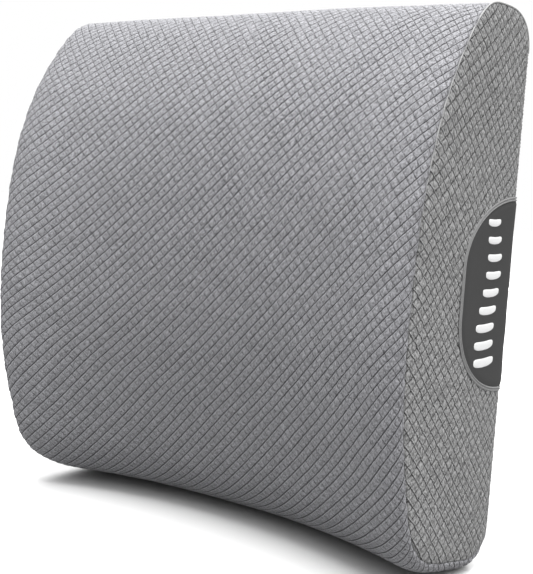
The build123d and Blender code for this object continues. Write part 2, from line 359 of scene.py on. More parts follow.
def quilted_knit(name, light, dark, fuzz, strong, weak, wobble, knit_scale, cool, falling_strong=False):
    """Knit with two families of crossing groove lines. UV counts tiles along both diagonals.

    light and dark are its yarns, and also give the painted highlight on each tile's upper edge and the
    painted shade in the groove lines. fuzz is the light yarn's share, strong and weak how deep the two
    families of groove lines are and how much painted shade they hold, and wobble how unevenly the groove
    lines run.
    """
    n = Nodes(name)
    place = n.place()
    parts = n.add("SeparateXYZ", Vector=n.uv())
    sway = n.math("MULTIPLY", n.math("SUBTRACT", n.noise(place, 90, 2.0), 0.5), wobble)
    jitter = n.math("MULTIPLY", n.math("SUBTRACT", n.noise(place, 900, 1.0), 0.5), wobble * 0.8)
    sway = n.math("ADD", sway, jitter)
    rising = n.math("ADD", n.math("SUBTRACT", parts.outputs[0], parts.outputs[1]), sway)
    falling = n.math("SUBTRACT", n.math("ADD", parts.outputs[0], parts.outputs[1]), sway)
    if falling_strong:
        rising, falling = falling, rising
    offset = line_offset(n, rising)
    first = n.math("ABSOLUTE", offset)
    second = n.math("ABSOLUTE", line_offset(n, falling))
    # a tile's upper edge is a raised row of stitches; its paler colour is a painted highlight, where light
    # from above would catch it
    lip_and_highlight = n.math("MULTIPLY", n.ramp(offset, 0.07, 0.13), n.ramp(offset, 0.13, 0.25, 1.0, 0.0))
    lip_and_highlight = n.math("MULTIPLY", lip_and_highlight, LIP_AND_HIGHLIGHT)
    uneven = n.ramp(n.noise(place, 260, 1.0), 0.35, 0.6, 0.5, 1.0)
    # the groove lines set both the relief and the painted shade in them
    first_groove_and_shade = n.math("MULTIPLY", n.ramp(first, *TILE_LINE), strong)
    second_groove_and_shade = n.math("MULTIPLY", n.math("MULTIPLY", n.ramp(second, *TILE_LINE), weak), uneven)
    grooves_and_shade = n.math("MAXIMUM", first_groove_and_shade, second_groove_and_shade)
    # fine knit: short stitches along both directions, over a heather of light and dark yarn
    stitches = n.noise(n.stretched(place, (1.0, 1.0, 0.55)), knit_scale, 2.0, 0.6)
    yarn = n.noise(n.stretched(place, (1.0, 1.0, 1.35)), knit_scale * 0.55, 3.0, 0.7)
    blotch = n.noise(place, 35, 3.0)
    heather = n.math("ADD", n.math("MULTIPLY", stitches, 0.55), n.math("MULTIPLY", yarn, 0.45))
    heather = n.ramp(heather, 0.36, 0.64)
    heather = n.math("ADD", n.math("MULTIPLY", heather, fuzz), n.math("MULTIPLY", blotch, 0.08))
    colour = n.mix(heather, grey(dark, cool), grey(light, cool))
    # painted highlight: each tile's upper edge is coloured paler than the yarn
    colour = n.mix(lip_and_highlight, colour, grey(light * 1.5, cool))
    # painted shade: the groove lines are coloured near-black, as the shade inside them
    colour = n.mix(grooves_and_shade, colour, grey(dark * 0.25, cool))
    fine = n.bump(stitches, 0.0004, 0.8)
    height = n.math("SUBTRACT", n.math("ADD", 1.0, n.math("MULTIPLY", lip_and_highlight, 0.4)), grooves_and_shade)
    normal = n.bump(height, 0.0013, 1.0, fine)
    return n.finish(colour, n.ramp(heather, 0.0, 1.0, 0.97, 0.86), normal, sheen=0.10, specular=0.25)


def plain_weave(name, light, dark, pitch, sheen=0.1, depth=0.00018):
    """Narrow woven cloth. UV is in millimetres along and across the piece."""
    n = Nodes(name)
    parts = n.add("SeparateXYZ", Vector=n.uv())
    place = n.place()
    warp = n.math("SINE", n.math("MULTIPLY", parts.outputs[1], 2 * pi / pitch))
    weft = n.math("SINE", n.math("MULTIPLY", parts.outputs[0], 2 * pi / (pitch * 1.3)))
    woven = n.math("ADD", n.math("MULTIPLY", n.math("MULTIPLY", warp, weft), 0.5), 0.5)
    yarn = n.noise(place, 1400, 2.0, 0.6)
    tone = n.math("ADD", n.math("MULTIPLY", woven, 0.6), n.math("MULTIPLY", yarn, 0.4))
    patchy = n.math("ADD", n.math("MULTIPLY", n.noise(place, 40), 0.25), tone)
    colour = n.mix(patchy, grey(dark), grey(light))
    normal = n.bump(tone, depth, 0.7)
    return n.finish(colour, n.ramp(tone, 0.0, 1.0, 0.92, 0.74), normal, sheen=sheen, specular=0.2)


def air_mesh(name, light, dark, cell):
    """Spacer mesh: rows of small openings in a dense knit, sunk by a bump and painted near-black as the
    shade inside them.
    """
    n = Nodes(name)
    place = n.place()
    spread = n.stretched(n.uv(), (1 / cell, 1.6 / cell, 1.0))
    cells = n.add("TexVoronoi", Vector=spread, Scale=1.0, Randomness=0.12)
    hole_and_shade = n.ramp(cells.outputs["Distance"], 0.16, 0.34, 1.0, 0.0)
    yarn = n.noise(place, 1300, 2.0, 0.65)
    tone = n.math("ADD", n.math("MULTIPLY", yarn, 0.7), n.math("MULTIPLY", n.noise(place, 30), 0.3))
    colour = n.mix(tone, grey(dark), grey(light))
    # painted shade: the openings are coloured near-black
    colour = n.mix(hole_and_shade, colour, grey(dark * 0.2))
    fine = n.bump(yarn, 0.0002, 0.5)
    normal = n.bump(n.math("SUBTRACT", 1.0, hole_and_shade), 0.0006, 0.9, fine)
    return n.finish(colour, n.ramp(tone, 0.0, 1.0, 0.95, 0.85), normal, sheen=0.1, specular=0.25)


def moulded(name, light, dark, rough_low, rough_high, grain=0.00003, metal=0.0):
    """Moulded plastic or coated metal with a fine grain, faint flow marks and worn, smoother high spots."""
    n = Nodes(name)
    place = n.place()
    fine = n.noise(place, 2600, 2.0)
    flow = n.noise(n.stretched(place, (1, 1, 3)), 60, 4.0)
    colour = n.mix(flow, grey(dark), grey(light))
    wear = n.math("ADD", n.math("MULTIPLY", fine, 0.5), n.math("MULTIPLY", flow, 0.5))
    rough = n.ramp(wear, 0.3, 0.7, rough_low, rough_high)
    material = n.finish(colour, rough, n.bump(fine, grain, 0.6))
    n.shader.inputs["Metallic"].default_value = metal
    return material


front_knit = quilted_knit(
    "quilted_knit", light=0.315, dark=0.10, fuzz=0.95, strong=0.80, weak=0.45, wobble=0.10, knit_scale=1400,
    cool=0.055)
side_knit = quilted_knit(
    "side_knit", light=0.325, dark=0.065, fuzz=1.0, strong=0.85, weak=0.8, wobble=0.16, knit_scale=900,
    cool=0.0, falling_strong=True)
back_mesh = air_mesh("back_mesh", 0.105, 0.045, 3.4)
label_cloth = plain_weave("label_cloth", 0.050, 0.034, 0.5, sheen=0.0, depth=0.00005)
label_edging = plain_weave("label_edging", 0.24, 0.13, 0.7)
label_bars = plain_weave("label_bars", 0.74, 0.60, 0.45, depth=0.0001)
seam_thread = plain_weave("seam_thread", 0.36, 0.24, 0.9)
tape_cloth = plain_weave("zip_tape", 0.10, 0.05, 0.9)
webbing = plain_weave("strap_webbing", 0.075, 0.012, 2.2, depth=0.0006)
elastic = plain_weave("strap_elastic", 0.070, 0.010, 1.8, depth=0.0005)
care_satin = plain_weave("care_satin", 0.62, 0.50, 0.6, sheen=0.3, depth=0.00008)
dark_thread = plain_weave("dark_thread", 0.16, 0.10, 0.3)
foam = moulded("memory_foam", 0.85, 0.72, 0.85, 0.95, 0.0002)
liner = plain_weave("liner_cloth", 0.80, 0.66, 0.8)
coil_plastic = moulded("zip_coil", 0.06, 0.035, 0.35, 0.5)
zip_metal = moulded("zip_metal", 0.045, 0.02, 0.28, 0.45, 0.00001, 0.6)
buckle_plastic = moulded("buckle_plastic", 0.028, 0.018, 0.38, 0.55, 0.00004)


# ---- the front panel ----
PANEL_STEP = 1.37  # mesh step of the front panel
SEAM_BEAD = 0.5  # radius of the rolled edge of the side seams
BEAD_SINK = (235, 14, 0.75, 0.45)  # height where the edge sinks, over what range, how far along X and inward
TURN_IN = (1.2, 2.6, 4.5)  # seam allowance, folded in under the neighbouring panel


def seam_pull(distance):
    """1 on a seam, fading to 0 within a few mm of it."""
    return np.exp(-distance / 3.0)


def woven_lines(across, along):
    """How the knit lies on the front: its lines turn slightly and crowd together toward the upper right."""
    rise = np.clip((along - 22) / 12, 0, 1)
    rise = rise * rise * (3 - 2 * rise)
    lean = np.maximum(along - 26 + 0.25 * np.minimum(across, 0), 0)
    lean = 0.10 * lean - 0.05 * np.maximum(lean - 18, 0)
    u = across + rise * (0.0032 * across**2 + 0.03 * across) - lean
    v = along + 0.035 * across + 0.02 * rise * (along - 26)
    return u, v


def groove(phase, sharp):
    """0 at a groove between two tiles and 1 over most of a tile."""
    return np.minimum(1, np.abs(np.sin(pi * phase)) * sharp)


def front_panel():
    """One cloth from the bottom round the front to the top, its quilting modelled as relief."""
    _, _, across_length = rounded_columns(2000)
    columns = int(round(across_length / PANEL_STEP)) + 1
    rows = int(round(belly_run[-1] / PANEL_STEP)) + 1
    x, lift, _ = rounded_columns(columns)
    grid = body_surface(x, lift, rows)
    normal = grid_normals(grid)
    if normal[columns // 2, rows // 2, 1] > 0:
        normal = -normal
    extra = len(TURN_IN)
    all_columns = np.arange(-extra, columns + extra)
    all_rows = np.arange(-extra, rows + extra)
    i, j = np.meshgrid(all_columns, all_rows, indexing="ij")
    u, v = woven_lines((i - columns // 2) * PANEL_STEP / TILE, j * PANEL_STEP / TILE)
    rising = groove(u - v, 1.5)
    falling = groove(u + v, 1.5)
    inside = (slice(extra, -extra), slice(extra, -extra))
    relief = -0.55 * (1 - rising[inside]) - 0.3 * (1 - falling[inside])
    relief += 0.35 * soft_noise(grid, 75, 3) + 0.12 * soft_noise(grid, 26, 4)
    # near its seams the cloth is drawn in and puckers slightly
    from_side = np.minimum(i, columns - 1 - i)[inside] * PANEL_STEP
    from_back = np.minimum(j, rows - 1 - j)[inside] * PANEL_STEP
    side_pull = seam_pull(from_side)
    back_pull = seam_pull(from_back)
    pucker = np.sin(j[inside] * PANEL_STEP * 2 * pi / 17 + 2.5 * soft_noise(grid, 60, 5))
    pucker = pucker * np.exp(-from_side / 12.0)
    calm = (1 - side_pull) * (1 - back_pull)
    rise = relief * calm + 0.28 * pucker * (1 - back_pull) - SEAM_DIP * back_pull
    grid = grid + normal * rise[..., None]
    grid[..., 0] -= np.sign(grid[..., 0]) * SEAM_DIP * side_pull
    # fold the allowances in: first at the two sides, then along the back's edges
    left, right = [], []
    for depth in TURN_IN:
        for k, sign, rims in ((0, 1, left), (-1, -1, right)):
            ring = grid[k] - normal[k] * depth * 0.35
            ring[:, 0] += sign * depth
            rims.append(ring)
    grid = np.concatenate([left[::-1], grid, right])
    normal = np.concatenate([[normal[0]] * extra, normal, [normal[-1]] * extra])
    lower = [grid[:, 0] - normal[:, 0] * depth for depth in TURN_IN][::-1]
    upper = [grid[:, -1] - normal[:, -1] * depth for depth in TURN_IN]
    grid = np.concatenate([np.stack(lower, 1), grid, np.stack(upper, 1)], axis=1)
    grid[..., 2] = np.maximum(grid[..., 2], 0.02)
    uv = np.stack([u, v], -1).reshape(-1, 2)
    faces = grid_faces(*u.shape, crease=lambda a, b: falling[a, b] < rising[a, b])
    piece = mesh_object("front_panel_knit", grid.reshape(-1, 3), faces, uv)
    finish_piece(piece, "cushion", "quilted_knit", front_knit, "front_panel")


# ---- the foam and its liner, inside the cover ----
def inner_body(name, inset, slot, material, node):
    """A closed block of the cushion's shape, inset mm smaller all round."""
    columns, rows = 34, 80
    x, lift, _ = rounded_columns(columns)
    grid = body_surface(x, lift, rows, inset)
    grid[..., 0] *= (HALF - inset) / HALF
    grid[..., 2] = np.maximum(grid[..., 2], inset)
    faces = [face[::-1] for face in tube_faces(columns, rows)]
    run = np.arange(rows) * belly_run[-1] / rows
    uv = np.stack([np.repeat(x, rows), np.tile(run, columns)], 1)
    piece = mesh_object(name, grid.reshape(-1, 3), faces, uv)
    finish_piece(piece, "cushion", slot, material, node)


# ---- the side gussets ----
GUSSET_SPINE = ((50, 45), (50, 295))  # (depth, height) of the line that the gusset's mesh closes on
OUTLINE_STEPS = 460  # mesh steps along the seam, and from it to the spine
RINGS = 50
back_edge = np.stack([np.zeros(400), np.linspace(SEAM[-1][1], SEAM[0][1], 400)], 1)
side_loop = np.concatenate([even(fine_seam, 1200)[0], back_edge])


def seam_distance(points):
    """Distance of each (depth, height) point from the gusset's seam."""
    flat = points.reshape(-1, 2)
    nearest = np.empty(len(flat))
    for start in range(0, len(flat), 4000):
        part = flat[start:start + 4000]
        gaps = np.linalg.norm(part[:, None] - side_loop[None, ::3], axis=-1)
        nearest[start:start + 4000] = gaps.min(axis=1)
    return nearest.reshape(points.shape[:-1])


def gusset_stand(points):
    """How far the gusset stands out, less than HALF, at (depth, height) points."""
    gap = seam_distance(points)
    return HALF - SEAM_DIP * seam_pull(gap) + 0.5 * (1 - np.exp(-gap / 25))


def side_gusset(side, name, node):
    """The cloth on one side: side is 1 for the right and -1 for the left."""
    front = even(fine_seam, OUTLINE_STEPS + 1)[0]
    back = np.stack([np.zeros(len(front)), np.linspace(front[0, 1], front[-1, 1], len(front))], 1)
    share = np.linspace(0, 1, len(front))[:, None]
    spine = np.array(GUSSET_SPINE[0]) * (1 - share) + np.array(GUSSET_SPINE[1]) * share
    rings = np.linspace(0, 1, RINGS + 1)[None, :, None]
    halves = [edge[:, None] * (1 - rings) + spine[:, None] * rings for edge in (front, back)]
    # one grid from the front seam over the spine to the back seam
    flat = np.concatenate([halves[0], halves[1][:, -2::-1]], axis=1)
    stand = gusset_stand(flat)
    gap = seam_distance(flat)
    depth, height = flat[..., 0], flat[..., 1]
    place = np.stack([stand, -depth, height], -1)
    bend = 0.22 * soft_noise(place, 90, 11) + 0.35 * np.exp(-gap / 16)
    u = -depth / SIDE_TILE + bend
    v = 1.12 * height / SIDE_TILE + 0.16 * u
    rising = groove(u - v, 1.4)
    falling = groove(u + v, 1.4)
    relief = -0.34 * (1 - rising) - 0.5 * (1 - falling) + 0.25 * soft_noise(place, 55, 12)
    pucker = 0.4 * np.sin(height * 2 * pi / 11 + depth * 2 * pi / 17 + 2 * soft_noise(place, 40, 13))
    pucker = pucker * np.exp(-gap / 11)
    stand = stand + (relief + pucker) * (1 - seam_pull(gap))
    grid = np.stack([stand, -depth, height], -1)
    # the seam allowance folds inward, under the front and back panels
    to_spine = flat[:, RINGS] - flat[:, 0]
    to_spine /= np.linalg.norm(to_spine, axis=1)[:, None]
    inward = 0.6 * np.stack([np.full(len(flat), -1), -to_spine[:, 0], to_spine[:, 1]], 1)
    rims_front = [grid[:, 0] + inward * fold for fold in TURN_IN][::-1]
    rims_back = [grid[:, -1] + np.array([-0.6, -0.6, 0]) * fold for fold in TURN_IN]
    grid = np.concatenate([np.stack(rims_front, 1), grid, np.stack(rims_back, 1)], axis=1)
    pad = lambda values: np.pad(values, ((0, 0), (len(TURN_IN), len(TURN_IN))), mode="edge")
    uv = np.stack([pad(u), pad(v)], -1).reshape(-1, 2)
    grid[..., 0] *= side
    faces = grid_faces(grid.shape[0], grid.shape[1], flip=side < 0)
    piece = mesh_object(name, grid.reshape(-1, 3), faces, uv)
    finish_piece(piece, "cushion", "side_knit", side_knit, node)


def tube(name, line, radius, sides=6):
    """A thin round cord along a line of 3D points."""
    along = np.gradient(line, axis=0)
    along /= np.linalg.norm(along, axis=1)[:, None]
    first = np.cross(along, [1.0, 0.0, 0.0])
    first /= np.linalg.norm(first, axis=1)[:, None]
    second = np.cross(along, first)
    angles = np.arange(sides) * 2 * pi / sides
    ring = first[:, None] * np.cos(angles)[None, :, None] + second[:, None] * np.sin(angles)[None, :, None]
    grid = line[:, None] + radius * ring
    run = np.concatenate([[0], np.cumsum(np.linalg.norm(np.diff(line, axis=0), axis=1))])
    uv = np.stack([np.repeat(run, sides), np.tile(angles * radius, len(line))], 1)
    return mesh_object(name, grid.reshape(-1, 3), tube_faces(len(line), sides), uv)


def seam_bead(side, name):
    """The rolled edge of the seam between the front panel and a gusset."""
    flat = even(fine_seam, 640)[0]
    normals = outward(flat)
    flat = flat + normals * 0.1
    # the edge stands out at the top and sinks between the two cloths lower down
    height, spread, sideways, inward = BEAD_SINK
    sunk = 1 / (1 + np.exp((flat[:, 1] - height) / spread))
    stand = HALF - SEAM_DIP + 0.1 - sideways * sunk
    flat = flat - normals * inward * sunk[:, None]
    line = np.stack([side * stand, -flat[:, 0], flat[:, 1]], 1)
    line[:, 2] = np.maximum(line[:, 2], SEAM_BEAD)
    piece = tube(name, line, SEAM_BEAD)
    finish_piece(piece, "cushion", "quilted_knit", seam_thread)


# ---- the back panels ----
BACK_EDGE_X = HALF - 1.5
BACK_STEP = 1.9  # mesh step of the back panels
ZIP_MIDDLE = (tape_low[2] + lower_tape_high[2]) / 2 / MM
ZIP_LOW = lower_tape_low[2] / MM
ZIP_HIGH = tape_high[2] / MM


def back_panel(name, node, z_range, seed):
    """Spacer mesh between two heights, drawn in along its seams."""
    columns = int(2 * BACK_EDGE_X / BACK_STEP) + 1
    rows = int((z_range[1] - z_range[0]) / BACK_STEP) + 1
    x = np.linspace(-BACK_EDGE_X, BACK_EDGE_X, columns)
    z = np.linspace(*z_range, rows)
    x, z = np.meshgrid(x, z, indexing="ij")
    place = np.stack([x, np.zeros_like(x), z], -1)
    to_side = BACK_EDGE_X - np.abs(x)
    to_end = np.minimum(z - z_range[0], z_range[1] - z)
    edge = np.maximum(seam_pull(to_side), seam_pull(to_end))
    knit = np.sin(x * 2 * pi / 3.8) * np.sin(z * 2 * pi / 5.7)
    y = -0.3 + 0.22 * soft_noise(place, 60, seed) + 0.06 * knit - SEAM_DIP * edge
    y += 0.12 * np.sin(x * 2 * pi / 15) * np.exp(-to_end / 9)
    grid = np.stack([x, np.minimum(y, 0.1), z], -1)
    # the cut edges turn in, toward the foam
    rows_low = [grid[:, 0] - np.array([0, depth, 0]) for depth in TURN_IN[:2]][::-1]
    rows_high = [grid[:, -1] - np.array([0, depth, 0]) for depth in TURN_IN[:2]]
    grid = np.concatenate([np.stack(rows_low, 1), grid, np.stack(rows_high, 1)], axis=1)
    uv = grid[..., [0, 2]].reshape(-1, 2)
    faces = grid_faces(grid.shape[0], grid.shape[1], flip=True)
    piece = mesh_object(name, grid.reshape(-1, 3), faces, uv)
    finish_piece(piece, "cushion", "back_mesh", back_mesh, node)


# ---- strips of webbing and tape ----
def rounded_path(points, radius):
    """A path of 2D points with each corner turned into an arc."""
    points = [np.array(p, float) for p in points]
    path = [points[0]]
    for before, corner, after in zip(points, points[1:], points[2:]):
        way_in = (corner - before) / np.linalg.norm(corner - before)
        way_out = (after - corner) / np.linalg.norm(after - corner)
        turn = np.arccos(np.clip(way_in @ way_out, -1, 1))
        cut = radius * np.tan(turn / 2)
        start = corner - way_in * cut
        end = corner + way_out * cut
        for t in np.linspace(0, 1, 9):
            path.append((1 - t) ** 2 * start + 2 * t * (1 - t) * corner + t**2 * end)
    path.append(points[-1])
    return np.array(path)


def strip(name, path, z_middle, width, thickness, step=1.2, across=14, ripple=0.0):
    """A flat band along a path of (x, y) points, its width along Z."""
    line, length = even(np.array(path, float), 4000)
    count = int(length / step) + 2
    line, _ = even(line, count)
    along = np.gradient(line, axis=0)
    along /= np.linalg.norm(along, axis=1)[:, None]
    side = np.stack([-along[:, 1], along[:, 0]], 1)
    half = width / 2
    w = half * np.sin(np.linspace(-pi / 2, pi / 2, across + 1))
    edge = np.clip((half - np.abs(w)) / (thickness * 0.5), 0, 1)
    rise = thickness / 2 * np.sqrt(1 - (1 - edge) ** 2) * 0.999 + 0.001
    ring_w = np.concatenate([w, w[-2:0:-1]])
    ring_h = np.concatenate([rise, -rise[-2:0:-1]])
    run = np.arange(count) * length / (count - 1)
    wave = ripple * np.sin(run * 2 * pi / 2.6)[:, None] * np.sign(ring_h)[None, :]
    heights = ring_h[None, :] + wave
    grid = np.empty((count, len(ring_w), 3))
    grid[..., 0] = line[:, None, 0] + side[:, None, 0] * heights
    grid[..., 1] = line[:, None, 1] + side[:, None, 1] * heights
    grid[..., 2] = z_middle + ring_w[None, :]
    uv = np.stack([np.repeat(run, len(ring_w)), np.tile(ring_w, count)], 1)
    return mesh_object(name, grid.reshape(-1, 3), tube_faces(count, len(ring_w)), uv)


def stitches(name, points, length, gap, radius):
    """A row of dark stitches on the back that follow points, each a small spindle with its ends sunk in."""
    points, run = even(np.array(points, float), 3000)
    count = max(1, int(run / (length + gap)))
    normal = np.array((0.0, 1.0, 0.0))
    rings, sides = 7, 6
    verts, faces = [], []
    for k in range(count):
        start = (k + 0.1) / count
        stop = start + length / (length + gap) / count
        at = np.linspace(start, stop, rings) * (len(points) - 1)
        line = np.stack([np.interp(at, np.arange(len(points)), points[:, c]) for c in range(3)], 1)
        way = line[-1] - line[0]
        way /= np.linalg.norm(way) + 1e-9
        side = np.cross(way, normal)
        for centre, share in zip(line, np.linspace(-1, 1, rings)):
            thick = radius * np.sqrt(max(0.05, 1 - share**2 * 0.92))
            lift = radius * (0.55 - 1.5 * share**4)
            for q in range(sides):
                angle = q * 2 * pi / sides
                rise = lift + thick * 0.8 * sin(angle)
                verts.append(centre + side * thick * cos(angle) + normal * rise)
        faces += tube_faces(rings, sides, k * rings * sides)
    verts = np.array(verts)
    piece = mesh_object(name, verts, faces, verts[:, [0, 2]])
    finish_piece(piece, "cushion", "back_mesh", dark_thread)


# ---- the zip ----
COIL_PITCH = 1.25
COIL_WIRE = 0.3  # radius of the coil's wire
COIL_TURN_STEPS = 14
COIL_AXIS = 1.2  # distance of a coil's axis from the zip's middle line
COIL_HALF_WIDTH = 1.47  # of a loop: more than that distance, so that the two coils interlock
COIL_HALF_DEPTH = 0.55


def zip_tape(name, node, z_low, z_high):
    low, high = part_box(node)
    y = (low[1] + high[1]) / 2 / MM
    path = [(low[0] / MM, y), (high[0] / MM, y)]
    piece = strip(name, path, (z_low + z_high) / 2, z_high - z_low, (high[1] - low[1]) / MM * 0.9, 2.0, 8)
    finish_piece(piece, "cushion", "zip_tape", tape_cloth, node)


def zip_coil(name, node, side):
    """Half of the zip's coil, a flattened helix along X: side is 1 for the upper half, -1 for the lower."""
    low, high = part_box(node)
    start, end = low[0] / MM, high[0] / MM
    turns = int((end - start) / COIL_PITCH)
    phase = np.arange(turns * COIL_TURN_STEPS + 1) * 2 * pi / COIL_TURN_STEPS
    x = start + phase / (2 * pi) * COIL_PITCH + (COIL_PITCH / 2 if side < 0 else 0)
    z = ZIP_MIDDLE + side * (COIL_AXIS + COIL_HALF_WIDTH * np.cos(phase))
    y_middle = (low[1] + high[1]) / 2 / MM
    y = y_middle + COIL_HALF_DEPTH * np.sin(phase)
    line = np.stack([x, y, z], 1)
    piece = tube(name, line, COIL_WIRE, 5)
    finish_piece(piece, "cushion", "zip_coil", coil_plastic, node)


# ---- the label on the right gusset ----
LABEL_MIDDLE_Z = 173.0
LABEL_FRONT = (label_high[1] - label_low[1]) / MM  # how far the label reaches forward
UPPER_CENTRE = 187.5  # heights of the centres of its two quarter ellipses
LOWER_CENTRE = 159.0
LABEL_RISE = label_high[2] / MM - UPPER_CENTRE
LABEL_DROP = LOWER_CENTRE - label_low[2] / MM
WELT = 2.5  # width of the cord round it


def label_edge(count, grow=0.0):
    """Points (depth, height) along the label's curved side, from its top to its bottom."""
    a = np.linspace(0, pi / 2, 200)
    reach = LABEL_FRONT + grow
    upper = np.stack([reach * np.sin(a), UPPER_CENTRE + (LABEL_RISE + grow) * np.cos(a)], 1)
    lower = np.stack([reach * np.cos(a), LOWER_CENTRE - (LABEL_DROP + grow) * np.sin(a)], 1)
    return even(np.concatenate([upper, lower]), count)[0]


def on_gusset(points, lift):
    """Points of the right side, lift mm off the gusset."""
    return np.stack([gusset_stand(points) + lift, -points[..., 0], points[..., 1]], -1)


def side_label():
    """The label's patch, and the welt round its curved edge."""
    count, rings = 120, 26
    edge = label_edge(count)
    middle = np.array([0.6, LABEL_MIDDLE_Z])
    share = np.linspace(0.02, 1, rings)[None, :, None]
    flat = middle + (edge[:, None] - middle) * share
    lift = np.full(flat.shape[:-1], 0.75)
    lift[:, -1] = 0.1
    grid = on_gusset(flat, lift)
    uv = flat.reshape(-1, 2)
    piece = mesh_object("label_patch", grid.reshape(-1, 3), grid_faces(count, rings), uv)
    finish_piece(piece, "cushion", "label_cloth", label_cloth, "side_label")
    # the welt: two fine cords side by side round the curved edge
    steps, across = 240, 17
    inner = label_edge(steps, -0.3)
    outer = label_edge(steps, WELT)
    share = np.linspace(0, 1, across)[None, :, None]
    flat = inner[:, None] * (1 - share) + outer[:, None] * share
    height = 0.1 + 0.8 * np.abs(np.sin(2 * pi * share[..., 0])) ** 0.6 * (1 - 0.35 * share[..., 0])
    grid = on_gusset(flat, height)
    uv = np.stack([np.repeat(np.arange(steps), across), np.tile(np.linspace(0, WELT, across), steps)], 1)
    piece = mesh_object("label_welt", grid.reshape(-1, 3), grid_faces(steps, across), uv)
    finish_piece(piece, "cushion", "label_edging", label_edging, "label_border")


def label_emblem():
    """A plain motif of rounded bars in a gentle curve, like a row of vertebrae."""
    bars = 9
    sides = 40
    power = 0.55  # squareness of a bar's outline
    rings = ((0, 0.7), (0.35, 1.02), (0.9, 1.12))  # how far each ring draws in and stands off
    verts, faces, uv = [], [], []
    for k in range(bars):
        t = k / (bars - 1)
        z = 131 + 82 * t
        width = 27 - 10 * t
        height = 5.4 - 1.2 * t
        middle = 31 + 3.2 * sin(2 * pi * t + 0.4)
        for shrink, lift in rings:
            for q in range(sides):
                angle = 2 * pi * q / sides
                dy = np.sign(cos(angle)) * abs(cos(angle)) ** power * (width / 2 - shrink)
                dz = np.sign(sin(angle)) * abs(sin(angle)) ** power * (height / 2 - shrink)
                dz += 0.9 * (dy / width * 2) ** 2
                verts.append((middle + dy, z + dz, lift))
                uv.append((middle + dy, z + dz))
        faces += mound_faces(len(rings), sides, k * len(rings) * sides)
    verts = np.array(verts)
    grid = on_gusset(verts[:, :2], verts[:, 2])
    piece = mesh_object("label_emblem", grid, faces, uv)
    finish_piece(piece, "cushion", "label_cloth", label_bars)


# ---- the strap ----
def straps():
    """The elastic strap with its free tail, and the short strap with its sewn loop."""
    long_low, long_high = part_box("strap_long")
    tail_low, tail_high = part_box("strap_tail")
    short_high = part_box("strap_short")[1]
    z = (long_low[2] + long_high[2]) / 2 / MM
    width = (long_high[2] - long_low[2]) / MM
    thick = 1.5
    on_back = long_low[1] / MM + thick / 2
    top = long_high[1] / MM - thick / 2
    second = tail_low[1] / MM + thick / 2
    bar_x = tail_high[0] / MM
    rise_x = long_high[0] / MM - thick / 2
    drop_x = 2 * bar_x - rise_x
    long_path = rounded_path(
        [(long_low[0] / MM, on_back), (rise_x, on_back), (rise_x, top), (bar_x, top)], 2.0)
    piece = strip("elastic_long", long_path, z, width, thick * 0.96, 0.65, 26, ripple=0.05)
    finish_piece(piece, None, "strap_elastic", elastic, "strap_long")
    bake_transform(piece)
    tail_path = rounded_path(
        [(bar_x, top), (drop_x, top), (drop_x, second), (tail_low[0] / MM, second)], 2.0)
    piece = strip("elastic_tail", tail_path, z, width, thick * 0.96, 0.65, 26, ripple=0.05)
    finish_piece(piece, None, "strap_elastic", elastic, "strap_tail")
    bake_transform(piece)
    loop_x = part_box("buckle_female")[1][0] / MM
    loop_top = short_high[1] / MM - thick / 2
    # the short strap goes round the buckle's end bar and comes back over itself
    short_path = rounded_path([
        (short_high[0] / MM, on_back), (loop_x - 6.5, on_back), (loop_x - 6.5, loop_top),
        (loop_x + 2, loop_top), (loop_x + 9, second), (loop_x + 30, second)], 2.0)
    piece = strip("webbing_short", short_path, z, width, thick * 0.96, 0.65, 26)
    finish_piece(piece, "cushion", "strap_webbing", webbing, "strap_short")
    # the box and cross that sew the loop shut
    near, far = loop_x + 13, loop_x + 27
    reach = width / 2 - 4
    lid = second + thick / 2
    corners = [(near, z - reach), (far, z - reach), (far, z + reach), (near, z + reach)]
    lines = [(corners[k], corners[(k + 1) % 4]) for k in range(4)]
    lines += [(corners[0], corners[2]), (corners[1], corners[3])]
    for k, (a, b) in enumerate(lines):
        stitches(f"box_stitch_{k}", [(a[0], lid, a[1]), (b[0], lid, b[1])], 2.3, 0.7, 0.22)


def topstitching():
    """A row of stitches above the zip and one below it."""
    for name, z in (("zip_stitch_upper", ZIP_HIGH + 2.2), ("zip_stitch_lower", ZIP_LOW - 2.2)):
        x = np.linspace(-BACK_EDGE_X + 3, BACK_EDGE_X - 3, 300)
        points = np.stack([x, np.full(300, -0.35), np.full(300, z)], 1)
        stitches(name, points, 2.6, 0.8, 0.24)


def care_label():
    """A sewn-in tag that curls away from the back at its free end."""
    low, high = (np.array(corner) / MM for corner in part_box("care_label"))
    columns, rows = 26, 30
    x = np.linspace(low[0], high[0], columns)
    z = np.linspace(low[2], high[2], rows)
    x, z = np.meshgrid(x, z, indexing="ij")
    free = (x - low[0]) / (high[0] - low[0])
    y = 0.15 + 2.4 * free**2 + 0.35 * free * np.sin((z - low[2]) / (high[2] - low[2]) * 2 * pi)
    top = np.stack([x, y + 0.14, z], -1)
    under = np.stack([x, y - 0.14, z], -1)
    faces = grid_faces(columns, rows, flip=True)
    count = columns * rows
    faces += [tuple(count + k for k in f[::-1]) for f in faces]
    rim = [(a, 0) for a in range(columns)] + [(columns - 1, b) for b in range(1, rows)]
    rim += [(a, rows - 1) for a in range(columns - 2, -1, -1)] + [(0, b) for b in range(rows - 2, 0, -1)]
    loop = [a * rows + b for a, b in rim]
    for a, b in zip(loop, loop[1:] + loop[:1]):
        faces.append((a, b, count + b, count + a))
    points = np.concatenate([top.reshape(-1, 3), under.reshape(-1, 3)])
    uv = points[:, [0, 2]]
    piece = mesh_object("care_tag", points, faces, uv)
    finish_piece(piece, "cushion", "care_satin", care_satin, "care_label")


